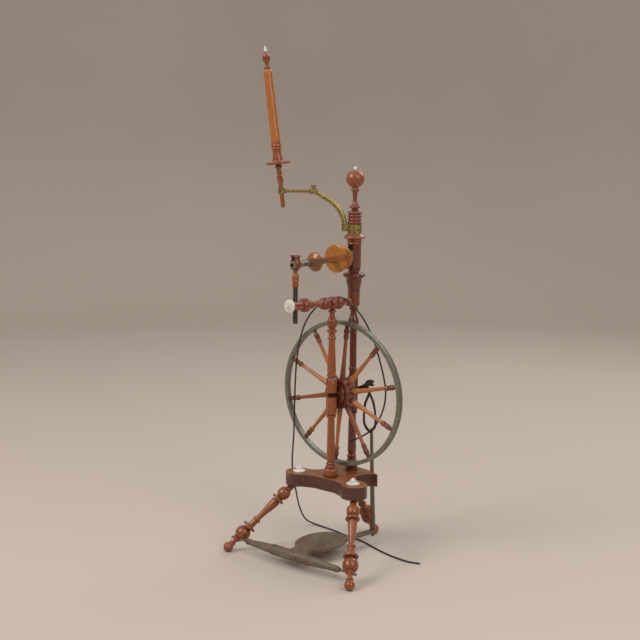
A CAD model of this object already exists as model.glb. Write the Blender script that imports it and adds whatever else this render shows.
"""Upright spinning wheel: camera, light, floor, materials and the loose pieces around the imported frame."""

import math

import bpy
from mathutils import Euler, Matrix, Vector


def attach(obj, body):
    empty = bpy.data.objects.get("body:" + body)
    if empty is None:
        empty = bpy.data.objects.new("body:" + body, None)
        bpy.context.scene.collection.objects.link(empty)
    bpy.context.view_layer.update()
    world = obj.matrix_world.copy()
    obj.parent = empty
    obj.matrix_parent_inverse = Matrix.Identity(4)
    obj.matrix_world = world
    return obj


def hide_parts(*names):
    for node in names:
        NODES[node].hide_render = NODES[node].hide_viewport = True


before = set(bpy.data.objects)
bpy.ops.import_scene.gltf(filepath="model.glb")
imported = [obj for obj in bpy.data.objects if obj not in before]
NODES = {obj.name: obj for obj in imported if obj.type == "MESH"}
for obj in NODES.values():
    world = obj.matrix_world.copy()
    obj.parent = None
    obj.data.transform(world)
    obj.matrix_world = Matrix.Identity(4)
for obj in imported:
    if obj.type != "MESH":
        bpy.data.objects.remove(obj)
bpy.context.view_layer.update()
MM = 0.001


def turn(axis, degrees):
    return Matrix.Rotation(math.radians(degrees), 4, axis)


def place(x, y, z):
    """A shift given in millimetres."""
    return Matrix.Translation(Vector((x, y, z)) * MM)


# Camera

CAMERA_AT = Vector((1.5894, -1.9759, 0.925))
YAW, PITCH, ROLL = (math.radians(a) for a in (39.59, -8.127, 0.488))
IMAGE_SIDE, FOCAL_PIXELS, SENSOR = 640, 1091.7, 36.0


def make_camera():
    forward = Vector((-math.sin(YAW) * math.cos(PITCH), math.cos(YAW) * math.cos(PITCH), math.sin(PITCH)))
    right = Vector((math.cos(YAW), math.sin(YAW), 0))
    up = right.cross(forward)
    side = math.cos(ROLL) * right + math.sin(ROLL) * up
    top = math.cos(ROLL) * up - math.sin(ROLL) * right
    camera = bpy.data.objects.new("camera", bpy.data.cameras.new("camera"))
    bpy.context.scene.collection.objects.link(camera)
    camera.matrix_world = Matrix((
        (side.x, top.x, -forward.x, CAMERA_AT.x),
        (side.y, top.y, -forward.y, CAMERA_AT.y),
        (side.z, top.z, -forward.z, CAMERA_AT.z),
        (0, 0, 0, 1),
    ))
    camera.data.sensor_width = SENSOR
    camera.data.lens = FOCAL_PIXELS * SENSOR / IMAGE_SIDE
    camera.data.clip_end = 60
    bpy.context.scene.camera = camera


# Frames of the turned pieces: the lathe's axis is +Z, and lengths along it are those of the part's source

POST = place(0, -9.5, 0)
COLUMN = place(0, 72, 0)
MAIDEN = place(0, -141.2, 0)
BAR = place(0, -9.5, 604.2) @ turn("X", -92.4)
FLYER = place(0, -141.2, 702) @ turn("X", -87.8)
ARM = COLUMN @ turn("Z", 219.6)
DISTAFF = ARM @ place(174, 0, 861.5) @ turn("Y", 6.7)
WHEEL = place(0, 28.2, 384) @ turn("X", -90)
TREADLE = place(0, -150.8, 31) @ turn("Y", 90)


def spoke_frame(i):
    return WHEEL @ turn("Z", 36 * (i - 1) - 12.7) @ turn("Y", 90)


def between(foot, top):
    """A frame at foot, its axis towards top, both in millimetres."""
    foot, top = Vector(foot), Vector(top)
    return Matrix.Translation(foot * MM) @ (top - foot).to_track_quat("Z", "Y").to_matrix().to_4x4()


LEGS = {
    "leg_left": between((-185.3, -168.7, 11.2), (-86.4, -29.6, 165)),
    "leg_right": between((185.3, -168.7, 11.2), (86.4, -29.6, 165)),
    "leg_back": between((0, 168.7, 11.2), (0, 66.3, 165)),
}


# Shader helpers

class Look:
    """A material with its nodes. Lengths reach its textures in millimetres of the piece's own frame."""

    def __init__(self, name, axis_frame=Matrix.Identity(4)):
        self.material = bpy.data.materials.new(name)
        self.material.use_nodes = True
        self.tree = self.material.node_tree
        self.shader = self.tree.nodes["Principled BSDF"]
        coordinates = self.node("ShaderNodeTexCoord")
        self.normal_out = coordinates.outputs["Normal"]
        mapping = self.node("ShaderNodeMapping", vector_type="TEXTURE")
        mapping.inputs["Location"].default_value = axis_frame.to_translation()
        mapping.inputs["Rotation"].default_value = axis_frame.to_euler()
        mapping.inputs["Scale"].default_value = (MM, MM, MM)
        self.link(coordinates.outputs["Object"], mapping.inputs["Vector"])
        self.at = mapping.outputs["Vector"]

    def node(self, kind, **settings):
        made = self.tree.nodes.new(kind)
        for key, value in settings.items():
            setattr(made, key, value)
        return made

    def link(self, out, into):
        self.tree.links.new(out, into)

    def feed(self, socket, value):
        if isinstance(value, bpy.types.NodeSocket):
            self.link(value, socket)
        else:
            socket.default_value = value

    def set(self, **values):
        """Sets the shader's own sockets, or feeds them from another node."""
        for key, value in values.items():
            if isinstance(value, tuple) and len(value) == 3:
                value = (*value, 1)
            self.feed(self.shader.inputs[key.replace("_", " ").title().replace("Ior", "IOR")], value)

    def math(self, kind, a, b=0.0, clamp=False):
        made = self.node("ShaderNodeMath", operation=kind, use_clamp=clamp)
        self.feed(made.inputs[0], a)
        self.feed(made.inputs[1], b)
        return made.outputs[0]

    def ramp(self, value, *stops, smooth=True):
        """Maps a value through (place, number or colour) stops."""
        made = self.node("ShaderNodeValToRGB")
        made.color_ramp.interpolation = "EASE" if smooth else "LINEAR"
        elements = made.color_ramp.elements
        while len(elements) < len(stops):
            elements.new(0.5)
        for element, (position, colour) in zip(elements, stops):
            element.position = position
            element.color = (*colour, 1) if isinstance(colour, tuple) else (colour, colour, colour, 1)
        self.feed(made.inputs[0], value)
        return made.outputs["Color"]

    def stretched(self, x, y, z, shift=0.0):
        """The coordinates scaled along each axis."""
        made = self.node("ShaderNodeMapping")
        self.link(self.at, made.inputs["Vector"])
        made.inputs["Scale"].default_value = (x, y, z)
        made.inputs["Location"].default_value = (shift, shift * 0.7, shift * 1.3)
        return made.outputs["Vector"]

    def noise(self, vector, scale, detail=3.0, rough=0.55, warp=0.0):
        made = self.node("ShaderNodeTexNoise")
        self.link(vector, made.inputs["Vector"])
        made.inputs["Scale"].default_value = scale
        made.inputs["Detail"].default_value = detail
        made.inputs["Roughness"].default_value = rough
        made.inputs["Distortion"].default_value = warp
        return made.outputs["Fac"]

    def mix(self, share, a, b, kind="MIX"):
        made = self.node("ShaderNodeMix", data_type="RGBA", blend_type=kind, clamp_factor=True)
        self.feed(made.inputs[0], share)
        for socket, value in ((made.inputs[6], a), (made.inputs[7], b)):
            self.feed(socket, (*value, 1) if isinstance(value, tuple) else value)
        return made.outputs[2]

    def part(self, letter):
        made = self.node("ShaderNodeSeparateXYZ")
        self.link(self.at, made.inputs[0])
        return made.outputs[letter.upper()]

    def span(self, value, low, high):
        """0 at low, 1 at high, clamped."""
        made = self.node("ShaderNodeMapRange", clamp=True)
        self.feed(made.inputs["Value"], value)
        made.inputs["From Min"].default_value = low
        made.inputs["From Max"].default_value = high
        return made.outputs["Result"]

    def crevice(self, reach):
        """1 on open surface, falling towards 0 in grooves narrower than reach (metres)."""
        made = self.node("ShaderNodeAmbientOcclusion", samples=6)
        made.inputs["Distance"].default_value = reach
        return made.outputs["AO"]

    def bump(self, height, depth, strength=1.0, base=None):
        made = self.node("ShaderNodeBump")
        made.inputs["Distance"].default_value = depth
        made.inputs["Strength"].default_value = strength
        self.link(height, made.inputs["Height"])
        if base is not None:
            self.link(base, made.inputs["Normal"])
        return made.outputs["Normal"]


def give(material, *names):
    """Puts one material on CAD nodes."""
    for name in names:
        data = NODES[name].data
        data.materials.clear()
        data.materials.append(material)


# Wood

ORANGE = ((0.085, 0.017, 0.005), (0.25, 0.062, 0.013), (0.43, 0.135, 0.030))
GOLDEN = ((0.21, 0.050, 0.009), (0.41, 0.125, 0.024), (0.55, 0.205, 0.050))
DARK_RED = ((0.040, 0.008, 0.004), (0.120, 0.022, 0.009), (0.235, 0.052, 0.016))
HONEY = ((0.22, 0.068, 0.008), (0.41, 0.150, 0.016), (0.54, 0.235, 0.034))
WORN = ((0.060, 0.044, 0.028), (0.140, 0.105, 0.065), (0.240, 0.190, 0.125))


def wood(name, axis_frame, tones, seed=0.0, rough=(0.22, 0.42), coat=0.45, grooves=0.006, lathe=0.00003, bands=()):
    """Polished turned wood: long grain, pores, uneven stain, dirt in the grooves and fine lathe rings.
    bands are (low, high, colour, share) stretches along the axis, in millimetres, with another stain."""
    look = Look(name, axis_frame)
    dark, mid, light = tones
    figure = look.noise(look.stretched(1, 1, 0.05, seed), 0.16, 5, 0.6, 0.6)
    streak = look.noise(look.stretched(1, 1, 0.03, seed + 9), 0.75, 4, 0.7)
    pores = look.noise(look.stretched(1, 1, 0.07, seed + 21), 2.6, 2, 0.6)
    patch = look.noise(look.stretched(1, 1, 0.5, seed + 40), 0.028, 3, 0.55)
    blend = look.math("ADD", look.math("MULTIPLY", figure, 0.55), look.math("MULTIPLY", streak, 0.45))
    colour = look.ramp(blend, (0.30, dark), (0.47, mid), (0.66, light))
    colour = look.mix(look.ramp(patch, (0.42, 0.0), (0.62, 0.55)), colour, mid)
    for low, high, stain, share in bands:
        height = look.part("z")
        inside = look.math("MULTIPLY", look.span(height, low - 0.8, low + 0.8), look.span(height, high + 0.8, high - 0.8))
        stained = look.mix(0.55, look.mix(1.0, colour, stain, "MULTIPLY"), stain)
        colour = look.mix(look.math("MULTIPLY", inside, share), colour, stained)
    pore_mask = look.ramp(pores, (0.30, 1.0), (0.40, 0.0))
    colour = look.mix(look.math("MULTIPLY", pore_mask, 0.5), colour, tuple(c * 0.35 for c in dark))
    open_share = look.crevice(grooves)
    dirt = look.ramp(open_share, (0.25, 0.85), (0.78, 0.0))
    colour = look.mix(dirt, colour, tuple(c * 0.4 for c in dark))
    smears = look.noise(look.stretched(1, 1, 0.6, seed + 60), 0.09, 4, 0.6)
    roughness = look.math("ADD", look.ramp(smears, (0.35, rough[0]), (0.7, rough[1])), look.math("MULTIPLY", dirt, 0.25))
    rings = look.node("ShaderNodeTexWave", wave_type="BANDS", bands_direction="Z")
    look.link(look.at, rings.inputs["Vector"])
    rings.inputs["Scale"].default_value = 0.42
    rings.inputs["Distortion"].default_value = 1.2
    grain = look.bump(blend, 0.00012, 0.6)
    grain = look.bump(pore_mask, -0.00008, 0.6, grain)
    normal = look.bump(rings.outputs["Fac"], lathe, 0.8, grain)
    look.set(base_color=colour, roughness=roughness, coat_weight=coat, coat_roughness=0.16, normal=normal)
    look.shader.inputs["Specular IOR Level"].default_value = 0.45
    return look.material


def dress_wood():
    for i, (name, leg) in enumerate(sorted(LEGS.items())):
        give(wood("turned_wood." + name, leg, ORANGE, 3.0 + 7 * i, bands=[(31, 66, (0.30, 0.07, 0.03), 0.35)]), name)
    give(wood("turned_wood.post", POST, ORANGE, 31, bands=[
        (206, 226, (0.20, 0.05, 0.02), 0.5), (540, 570, (0.24, 0.055, 0.02), 0.45),
    ]), "front_post")
    give(wood("turned_wood.crossbar", BAR, ORANGE, 47, bands=[
        (-116, -95, (0.30, 0.055, 0.03), 0.45), (-44, 33, (0.24, 0.045, 0.03), 0.6), (52, 68, (0.35, 0.06, 0.04), 0.5),
    ]), "crossbar")
    give(wood("turned_wood.maiden_fork", MAIDEN, ORANGE, 55, bands=[(688, 724, (0.16, 0.03, 0.02), 0.65)]),
         "maiden_fork")
    give(wood("turned_wood.flyer_arms", FLYER, ORANGE, 63, rough=(0.3, 0.5), coat=0.25, bands=[
        (44, 56, (0.16, 0.14, 0.08), 0.7), (92, 112, (0.60, 0.20, 0.05), 0.4),
    ]), "flyer_arms")
    give(wood("turned_wood.bobbin_core", FLYER, ORANGE, 71, bands=[(56, 66, (0.62, 0.26, 0.07), 0.55)]), "bobbin_core")
    give(wood("turned_wood.distaff_base", DISTAFF, ORANGE, 83, bands=[(60, 70, (0.40, 0.10, 0.03), 0.4)]),
         "distaff_base")
    give(wood("turned_wood.distaff_staff", DISTAFF, GOLDEN, 91, bands=[(92, 116, (0.32, 0.08, 0.03), 0.5)]),
         "distaff_staff")
    give(wood("turned_wood.distaff_finial", DISTAFF, ORANGE, 97), "distaff_finial")
    give(wood("turned_wood.tension_screw", COLUMN, ORANGE, 101, bands=[(815, 866, (0.20, 0.035, 0.02), 0.5)]),
         "tension_screw")
    give(wood("dark_wood.column", COLUMN, DARK_RED, 111, bands=[
        (738, 764, (0.55, 0.16, 0.04), 0.55), (785, 816, (0.42, 0.11, 0.03), 0.6),
        (587, 624, (0.42, 0.11, 0.035), 0.5), (188, 330, (0.34, 0.08, 0.025), 0.45),
    ]), "column")
    give(wood("dark_wood.hub", WHEEL, DARK_RED, 121, grooves=0.008), "hub")
    for i in range(1, 11):
        stain = [(141, 166, (0.12, 0.020, 0.010), 0.8), (133, 141, (0.16, 0.12, 0.05), 0.45),
                 (36, 46, (0.22, 0.06, 0.02), 0.5)]
        name = "spoke_%02d" % i
        give(wood("spoke_wood." + name, spoke_frame(i), GOLDEN if i % 3 else ORANGE, 130.0 + 11 * i, bands=stain),
             name)
    give(wood("whorl_wood.flyer_whorl", FLYER, HONEY, 251, grooves=0.004), "flyer_whorl")
    give(wood("whorl_wood.bobbin_whorl", FLYER, HONEY, 263, grooves=0.004), "bobbin_whorl")


def dress_board():
    """The board: grain along X, a warm polished top, and darker sides."""
    look = Look("board_wood.board", turn("Y", 90))
    grain = look.noise(look.stretched(1, 1, 0.06, 5), 0.11, 6, 0.62, 1.2)
    streak = look.noise(look.stretched(1, 1, 0.02, 13), 0.5, 4, 0.7)
    blend = look.math("ADD", look.math("MULTIPLY", grain, 0.6), look.math("MULTIPLY", streak, 0.4))
    top = look.ramp(blend, (0.32, (0.14, 0.035, 0.010)), (0.48, (0.27, 0.080, 0.022)), (0.68, (0.40, 0.150, 0.050)))
    side = look.ramp(blend, (0.32, (0.030, 0.007, 0.003)), (0.5, (0.080, 0.020, 0.008)), (0.7, (0.150, 0.042, 0.014)))
    split = look.node("ShaderNodeSeparateXYZ")
    look.link(look.normal_out, split.inputs[0])
    colour = look.mix(look.span(split.outputs["Z"], 0.35, 0.85), side, top)
    scuffs = look.noise(look.stretched(1, 1, 1, 33), 0.05, 5, 0.65)
    colour = look.mix(look.ramp(scuffs, (0.56, 0.0), (0.74, 0.4)), colour, (0.30, 0.20, 0.13))
    dirt = look.ramp(look.crevice(0.014), (0.3, 0.8), (0.85, 0.0))
    colour = look.mix(dirt, colour, (0.016, 0.006, 0.003))
    pores = look.ramp(look.noise(look.stretched(1, 1, 0.05, 51), 1.9, 2, 0.6), (0.32, 1.0), (0.42, 0.0))
    colour = look.mix(look.math("MULTIPLY", pores, 0.45), colour, (0.018, 0.006, 0.003))
    normal = look.bump(blend, 0.00025, 0.6)
    normal = look.bump(pores, -0.0001, 0.6, normal)
    look.set(base_color=colour, roughness=look.ramp(scuffs, (0.4, 0.30), (0.7, 0.52)), coat_weight=0.3,
             coat_roughness=0.2, normal=normal)
    give(look.material, "board")


def dress_worn():
    """Treadle and footman: grey-brown wood with worn, dusty faces."""
    for name, axis_frame, seed, rub in (
        ("treadle_bar", TREADLE, 301, 0.5), ("treadle_plate", turn("X", -90), 317, 0.9),
        ("footman_rod", between((42, 106, 42.3), (36.5, 102, 290)), 333, 0.2),
    ):
        look = Look("worn_wood." + name, axis_frame)
        grain = look.noise(look.stretched(1, 1, 0.05, seed), 0.22, 6, 0.65, 0.8)
        streak = look.noise(look.stretched(1, 1, 0.02, seed + 5), 1.1, 4, 0.7)
        blend = look.math("ADD", look.math("MULTIPLY", grain, 0.55), look.math("MULTIPLY", streak, 0.45))
        colour = look.ramp(blend, (0.3, WORN[0]), (0.48, WORN[1]), (0.68, WORN[2]))
        warm = look.noise(look.stretched(1, 1, 0.5, seed + 11), 0.03, 3)
        colour = look.mix(look.ramp(warm, (0.45, 0.0), (0.65, 0.6)), colour, (0.15, 0.060, 0.026))
        dust = look.noise(look.stretched(1, 1, 1, seed + 17), 0.07, 5, 0.7)
        colour = look.mix(look.ramp(dust, (0.48, 0.0), (0.72, rub)), colour, (0.30, 0.235, 0.165))
        cracks = look.ramp(look.noise(look.stretched(1, 1, 0.03, seed + 23), 1.4, 3, 0.6), (0.30, 1.0), (0.37, 0.0))
        colour = look.mix(look.math("MULTIPLY", cracks, 0.7), colour, (0.020, 0.013, 0.008))
        dirt = look.ramp(look.crevice(0.008), (0.25, 0.8), (0.8, 0.0))
        colour = look.mix(dirt, colour, (0.022, 0.015, 0.009))
        normal = look.bump(blend, 0.0003, 0.7)
        normal = look.bump(cracks, -0.0003, 0.7, normal)
        look.set(base_color=colour, roughness=look.ramp(dust, (0.35, 0.48), (0.7, 0.72)), normal=normal)
        give(look.material, name)


# Metal, bone and leather

def metal(name, tones, rough, metallic, patina, seed=0.0, worn=0.5, pits=0.0001, axis_frame=Matrix.Identity(4)):
    """Old metal: mottled tone, darker patina in the corners, rubbed high places, fine scratches."""
    look = Look(name, axis_frame)
    mottle = look.noise(look.stretched(1, 1, 1, seed), 0.12, 6, 0.65)
    fine = look.noise(look.stretched(1, 1, 1, seed + 8), 0.9, 4, 0.6)
    blend = look.math("ADD", look.math("MULTIPLY", mottle, 0.65), look.math("MULTIPLY", fine, 0.35))
    colour = look.ramp(blend, (0.34, tones[0]), (0.5, tones[1]), (0.66, tones[2]))
    dirt = look.ramp(look.crevice(0.006), (0.3, 0.9), (0.85, 0.0))
    spots = look.ramp(look.noise(look.stretched(1, 1, 1, seed + 15), 0.35, 4, 0.7), (0.52, 0.0), (0.66, worn))
    cover = look.math("MAXIMUM", dirt, spots)
    colour = look.mix(cover, colour, patina)
    scratches = look.noise(look.stretched(1, 1, 0.04, seed + 30), 3.0, 2, 0.5)
    roughness = look.math("ADD", look.ramp(blend, (0.3, rough[0]), (0.7, rough[1])), look.math("MULTIPLY", cover, 0.2))
    normal = look.bump(fine, pits, 0.7)
    normal = look.bump(scratches, 0.00003, 0.5, normal)
    share = look.math("SUBTRACT", metallic, look.math("MULTIPLY", cover, metallic * 0.7))
    look.set(base_color=colour, metallic=share, roughness=roughness, normal=normal)
    return look.material


def dress_metal():
    iron = ((0.028, 0.024, 0.018), (0.070, 0.060, 0.045), (0.150, 0.135, 0.105))
    give(metal("iron.rod", iron, (0.42, 0.62), 0.75, (0.085, 0.055, 0.030), 401), "maiden_rod", "axle", "crank",
         "flyer_hooks")
    pale = ((0.150, 0.135, 0.085), (0.270, 0.250, 0.165), (0.420, 0.400, 0.290))
    give(metal("iron.spindle", pale, (0.32, 0.5), 0.85, (0.10, 0.085, 0.05), 409), "flyer_spindle")
    rim = ((0.120, 0.115, 0.085), (0.205, 0.200, 0.155), (0.310, 0.305, 0.245))
    give(metal("rim_finish.rim", rim, (0.34, 0.52), 0.55, (0.125, 0.100, 0.062), 421, worn=0.45, pits=0.00015,
               axis_frame=WHEEL), "rim")
    block = ((0.130, 0.120, 0.105), (0.240, 0.225, 0.200), (0.370, 0.350, 0.320))
    give(metal("block_grey.block", block, (0.45, 0.65), 0.5, (0.11, 0.085, 0.06), 433), "bearing_block")
    brass = ((0.165, 0.120, 0.035), (0.330, 0.255, 0.085), (0.560, 0.470, 0.210))
    give(metal("brass.arm", brass, (0.26, 0.44), 0.9, (0.105, 0.088, 0.042), 441, worn=0.55), "arm_bracket",
         "collar_screw", "wing_screw", "arm_rod")


def dress_bone():
    """Off-white turned bone with fine ring lines, faint grain and grime in its grooves."""
    for name, axis_frame, seed in (("board_caps", POST, 501), ("tension_tip", COLUMN, 507), ("clamp_knob", BAR, 513),
                                   ("distaff_tip", DISTAFF, 519), ("fork_bearing", FLYER, 525)):
        look = Look("bone." + name, axis_frame)
        grain = look.noise(look.stretched(1, 1, 0.15, seed), 1.3, 4, 0.6)
        tone = look.noise(look.stretched(1, 1, 1, seed + 3), 0.11, 4, 0.6)
        colour = look.ramp(tone, (0.35, (0.62, 0.56, 0.46)), (0.5, (0.76, 0.73, 0.66)), (0.68, (0.84, 0.83, 0.80)))
        specks = look.ramp(grain, (0.28, 0.5), (0.38, 0.0))
        colour = look.mix(specks, colour, (0.40, 0.30, 0.19))
        dirt = look.ramp(look.crevice(0.005), (0.3, 0.85), (0.8, 0.0))
        colour = look.mix(dirt, colour, (0.24, 0.17, 0.10))
        normal = look.bump(grain, 0.00006, 0.6)
        look.set(base_color=colour, roughness=look.ramp(tone, (0.35, 0.28), (0.7, 0.42)), coat_weight=0.25,
                 coat_roughness=0.15, normal=normal)
        look.shader.inputs["Subsurface Weight"].default_value = 0.12
        look.shader.inputs["Subsurface Radius"].default_value = (0.004, 0.003, 0.002)
        look.shader.inputs["Subsurface Scale"].default_value = 0.5
        give(look.material, name)


def leather():
    look = Look("leather")
    cells = look.node("ShaderNodeTexVoronoi", feature="DISTANCE_TO_EDGE")
    look.link(look.stretched(1, 1, 1, 601), cells.inputs["Vector"])
    cells.inputs["Scale"].default_value = 0.9
    creases = look.ramp(cells.outputs["Distance"], (0.0, 1.0), (0.18, 0.0))
    tone = look.noise(look.stretched(1, 1, 0.4, 607), 0.16, 5, 0.65)
    colour = look.ramp(tone, (0.34, (0.030, 0.020, 0.014)), (0.5, (0.080, 0.056, 0.040)), (0.68, (0.200, 0.155, 0.115)))
    colour = look.mix(look.math("MULTIPLY", creases, 0.6), colour, (0.018, 0.012, 0.009))
    dirt = look.ramp(look.crevice(0.006), (0.3, 0.7), (0.8, 0.0))
    colour = look.mix(dirt, colour, (0.014, 0.009, 0.006))
    normal = look.bump(creases, -0.00025, 0.7)
    look.set(base_color=colour, roughness=look.ramp(tone, (0.3, 0.52), (0.7, 0.74)), normal=normal)
    return look.material


def belting():
    look = Look("cord")
    tone = look.noise(look.stretched(1, 1, 1, 641), 0.2, 4, 0.6)
    fine = look.noise(look.stretched(1, 1, 1, 653), 2.2, 3, 0.6)
    colour = look.ramp(tone, (0.35, (0.012, 0.010, 0.008)), (0.6, (0.030, 0.026, 0.021)), (0.75, (0.065, 0.056, 0.046)))
    look.set(base_color=colour, roughness=look.ramp(fine, (0.3, 0.42), (0.7, 0.60)), normal=look.bump(fine, 0.0001, 0.6))
    return look.material


# Finish of the CAD pieces' shading: welded corners, smooth across small angles, with a thin rounding on the edges

def smoothing_group(name, degrees):
    group = bpy.data.node_groups.new(name, "GeometryNodeTree")
    group.interface.new_socket("Geometry", in_out="INPUT", socket_type="NodeSocketGeometry")
    group.interface.new_socket("Geometry", in_out="OUTPUT", socket_type="NodeSocketGeometry")
    n = group.nodes
    start, end = n.new("NodeGroupInput"), n.new("NodeGroupOutput")
    weld = n.new("GeometryNodeMergeByDistance")
    weld.inputs["Distance"].default_value = 0.000002
    faces, edges = n.new("GeometryNodeSetShadeSmooth"), n.new("GeometryNodeSetShadeSmooth")
    faces.domain, edges.domain = "FACE", "EDGE"
    edges.inputs["Shade Smooth"].default_value = False
    angle = n.new("GeometryNodeInputMeshEdgeAngle")
    wide = n.new("FunctionNodeCompare")
    wide.operation = "GREATER_THAN"
    wide.inputs[1].default_value = math.radians(degrees)
    link = group.links.new
    link(start.outputs[0], weld.inputs["Geometry"])
    link(weld.outputs[0], faces.inputs["Geometry"])
    link(faces.outputs[0], edges.inputs["Geometry"])
    link(angle.outputs["Unsigned Angle"], wide.inputs[0])
    link(wide.outputs[0], edges.inputs["Selection"])
    link(edges.outputs[0], end.inputs[0])
    return group


def smooth_nodes():
    group = smoothing_group("smooth_by_angle", 38)
    for name, node in NODES.items():
        node.modifiers.new("smooth", "NODES").node_group = group


# Loose drive cord: the route of the part's source, from its end by the column to its end on the floor

CORD_R = 2.0
FLOOR_Z = CORD_R + 0.05
BAR_TOP_Z = 604.2 - (26 + 9.5) * math.tan(math.radians(2.4)) + 9 + CORD_R + 0.1
ROUTE = [
    (14, 48, 265), (50, 48, 283), (82, 48, 308), (103, 48, 340), (114, 48, 372), (116, 48, 402),
    (110, 48, 434), (99, 48, 468), (83, 48, 510), (64, 46, 547), (42, 43, 577), (20, 35, 600),
    (0, 26, BAR_TOP_Z), (-22, 25, 612), (-48, 22, 602), (-75, 20, 583), (-92, 18, 564),
    (-105, 15, 541), (-115, 13, 512), (-123, 12, 476), (-129, 12, 435), (-132, 12, 388),
    (-134, 12, 325), (-134, 10, 262), (-134, 5, 205), (-131, 4, 165), (-127, 10, 128),
    (-144, 38, 88), (-158, 64, 56), (-165, 86, 29), (-165, 105, 11), (-150, 117, 3),
    (-117, 115, FLOOR_Z), (-75, 110, FLOOR_Z), (-35, 101, FLOOR_Z), (0, 98, FLOOR_Z),
    (32, 91, FLOOR_Z), (70, 77, FLOOR_Z), (112, 64, FLOOR_Z), (153, 56, FLOOR_Z),
    (186, 54, FLOOR_Z), (214, 62, FLOOR_Z),
]


def smooth_route(points, steps):
    """A curve through the points, each stretch in some steps."""
    p = [Vector(q) for q in points]
    made = []
    for i in range(len(p) - 1):
        a, b, c, d = p[max(i - 1, 0)], p[i], p[i + 1], p[min(i + 2, len(p) - 1)]
        for k in range(steps):
            t = k / steps
            made.append(0.5 * (2 * b + (c - a) * t + (2 * a - 5 * b + 4 * c - d) * t * t
                               + (3 * b - a - 3 * c + d) * t * t * t))
    return made + [p[-1]]


def make_cord():
    points = [q * MM for q in smooth_route(ROUTE, 5)]
    curve = bpy.data.curves.new("drive_cord_line", "CURVE")
    curve.dimensions = "3D"
    curve.bevel_depth = CORD_R * MM
    curve.bevel_resolution = 5
    curve.use_fill_caps = True
    spline = curve.splines.new("POLY")
    spline.points.add(len(points) - 1)
    for point, co in zip(spline.points, points):
        point.co = (*co, 1)
    spline.use_smooth = True
    curve.materials.append(belting())
    cord = bpy.data.objects.new("cord_line", curve)
    bpy.context.scene.collection.objects.link(cord)
    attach(cord, "stand")
    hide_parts("drive_cord")


# Floor and light

def make_stage():
    """A pale floor that curves up into a pale wall all round, far from the object."""
    reach, curve_r, wall = 5.2, 1.2, 3.4
    profile = [(0.0, 0.0), (1.5, 0.0), (3.0, 0.0), (reach - curve_r, 0.0)]
    profile += [(reach - curve_r + curve_r * math.sin(a), curve_r * (1 - math.cos(a)))
                for a in (math.radians(d) for d in range(9, 91, 9))]
    profile.append((reach, wall))
    around = 96
    points = [(r * math.cos(2 * math.pi * k / around), r * math.sin(2 * math.pi * k / around), z)
              for r, z in profile[1:] for k in range(around)]
    centre = len(points)
    points.append((0, 0, 0))
    faces = [(centre, k, (k + 1) % around) for k in range(around)]
    for i in range(len(profile) - 2):
        for k in range(around):
            a, b = i * around + k, i * around + (k + 1) % around
            faces.append((a, a + around, b + around, b))
    mesh = bpy.data.meshes.new("floor")
    mesh.from_pydata(points, [], faces)
    mesh.shade_smooth()
    floor = bpy.data.objects.new("floor", mesh)
    bpy.context.scene.collection.objects.link(floor)
    look = Look("floor")
    height = look.part("z")
    cloud = look.noise(look.stretched(1, 1, 1, 7), 0.0011, 3, 0.5)
    base = look.mix(look.span(height, 0, 1500), (0.60, 0.515, 0.445), (0.500, 0.430, 0.385))
    colour = look.mix(look.ramp(cloud, (0.35, 0.0), (0.7, 0.14)), base, (0.66, 0.58, 0.51))
    look.set(base_color=colour, roughness=0.62)
    look.shader.inputs["Specular IOR Level"].default_value = 0.25
    mesh.materials.append(look.material)


def lamp(name, at, towards, size, watts, colour=(1, 1, 1)):
    data = bpy.data.lights.new(name, "AREA")
    data.shape = "RECTANGLE"
    data.size, data.size_y = size
    data.energy = watts
    data.color = colour
    made = bpy.data.objects.new(name, data)
    made.location = at
    made.rotation_mode = "QUATERNION"
    made.rotation_quaternion = (Vector(towards) - Vector(at)).to_track_quat("-Z", "Y")
    bpy.context.scene.collection.objects.link(made)


def make_light():
    world = bpy.data.worlds.new("studio")
    world.use_nodes = True
    world.node_tree.nodes["Background"].inputs["Color"].default_value = (1.0, 0.98, 0.96, 1)
    world.node_tree.nodes["Background"].inputs["Strength"].default_value = 0.55
    bpy.context.scene.world = world
    lamp("key", (-1.2, -2.6, 2.9), (0, 0, 0.55), (1.6, 1.6), 62)
    lamp("fill", (2.7, -0.6, 2.2), (0, 0, 0.5), (1.4, 2.0), 30)
    lamp("rear", (0.2, 2.8, 2.6), (0, 0, 0.6), (2.0, 1.2), 26)
    bpy.context.scene.view_settings.view_transform = "Standard"


make_camera()
make_cord()
dress_wood()
dress_board()
dress_worn()
dress_metal()
dress_bone()
HIDE = leather()
give(HIDE, "leather_tie", "treadle_thong")
smooth_nodes()
make_stage()
make_light()
